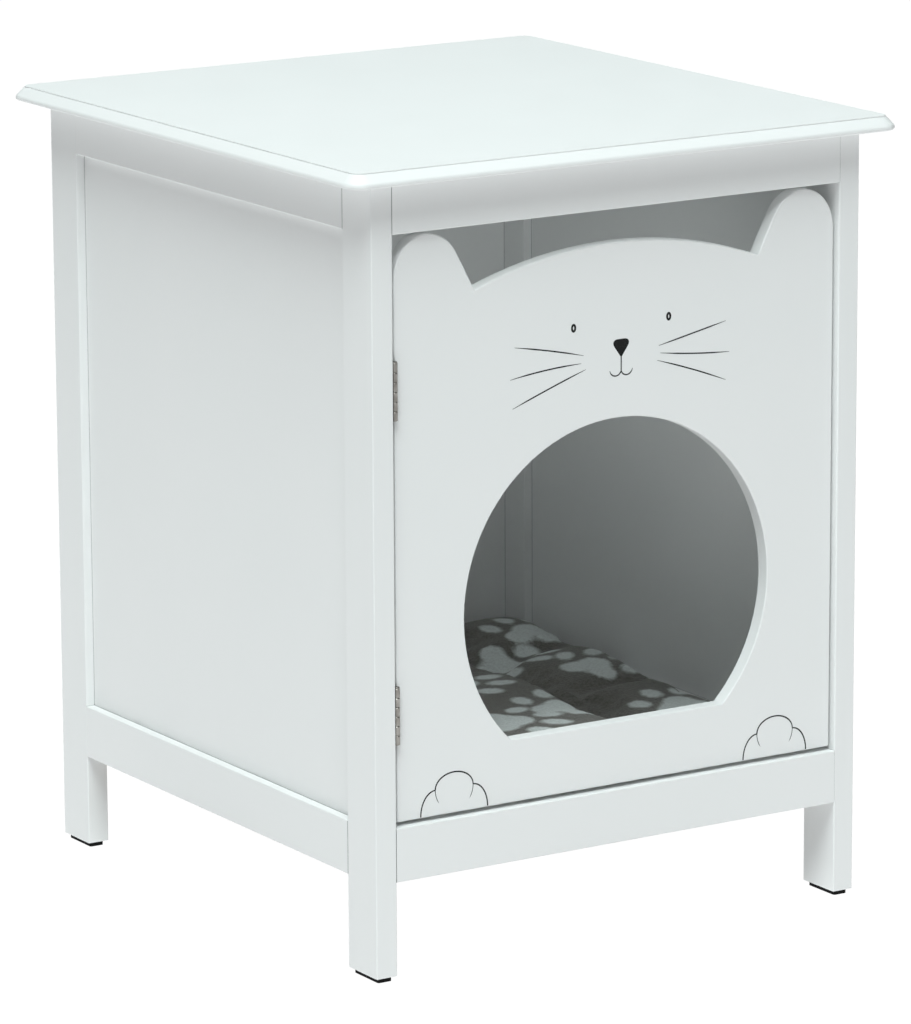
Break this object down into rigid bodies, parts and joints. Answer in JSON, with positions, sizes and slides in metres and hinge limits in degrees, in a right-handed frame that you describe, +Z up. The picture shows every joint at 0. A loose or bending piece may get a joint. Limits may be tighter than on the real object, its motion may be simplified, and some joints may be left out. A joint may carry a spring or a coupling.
{
  "type": "nightstand cat house",
  "caption": "White bedside table with a cat's den inside: frame-and-panel cupboard, inset hinged door cut as a cat with ears and a round way in, and a soft pad on the floor.",
  "frame": {"origin": "on the floor, under the middle of the cabinet and of its tabletop", "axes": "+X to the right seen from the front, +Y to the rear, +Z up; the door is on the -Y side"},
  "size_m": [0.486, 0.514, 0.61],
  "materials": {
    "white_paint": "satin white paint on board",
    "bare_wood": "planed, unpainted",
    "felt": "pressed felt",
    "fleece": "short fleece with light paw prints",
    "plated_steel": "nickel plated",
    "zinc": "die-cast zinc",
    "catch_plastic": "moulded white plastic",
    "magnet": "sintered ferrite"
  },
  "bodies": {
    "cabinet": {"back_panel": "white_paint", "bracket_screws": "plated_steel", "cam_bolts": "zinc", "cam_discs": "zinc", "catch_body": "catch_plastic", "catch_magnet": "magnet", "catch_poles": "plated_steel", "catch_screws": "plated_steel", "cleat_screws": "plated_steel", "cushion": "fleece", "floor_cleat_left": "bare_wood", "floor_cleat_right": "bare_wood", "floor_panel": "white_paint", "foot_pad_front_left": "felt", "foot_pad_front_right": "felt", "foot_pad_rear_left": "felt", "foot_pad_rear_right": "felt", "front_apron": "white_paint", "front_bottom_rail": "white_paint", "hinge_frame_screws": "plated_steel", "hinge_lower_frame_leaf": "plated_steel", "hinge_lower_pin": "plated_steel", "hinge_upper_frame_leaf": "plated_steel", "hinge_upper_pin": "plated_steel", "leg_front_left": "white_paint", "leg_front_right": "white_paint", "leg_rear_left": "white_paint", "leg_rear_right": "white_paint", "rail_dowels": "bare_wood", "rear_bottom_rail": "white_paint", "rear_top_rail": "white_paint", "side_bottom_rail_left": "white_paint", "side_bottom_rail_right": "white_paint", "side_panel_left": "white_paint", "side_panel_right": "white_paint", "side_top_rail_left": "white_paint", "side_top_rail_right": "white_paint", "tabletop": "white_paint", "top_bracket_front_left": "plated_steel", "top_bracket_front_right": "plated_steel", "top_bracket_rear_left": "plated_steel", "top_bracket_rear_right": "plated_steel"},
    "door": {"door": "white_paint", "hinge_upper_door_leaf": "plated_steel", "hinge_lower_door_leaf": "plated_steel", "hinge_door_screws": "plated_steel", "strike_plate": "plated_steel", "strike_screw": "plated_steel"}
  },
  "joints": [
    {"name": "door_hinge", "type": "hinge", "parent": "cabinet", "child": "door", "pos_m": [-0.1962, -0.2358, 0.3435], "axis": [0, 0, -1], "range_deg": [0, 170]}
  ]
}
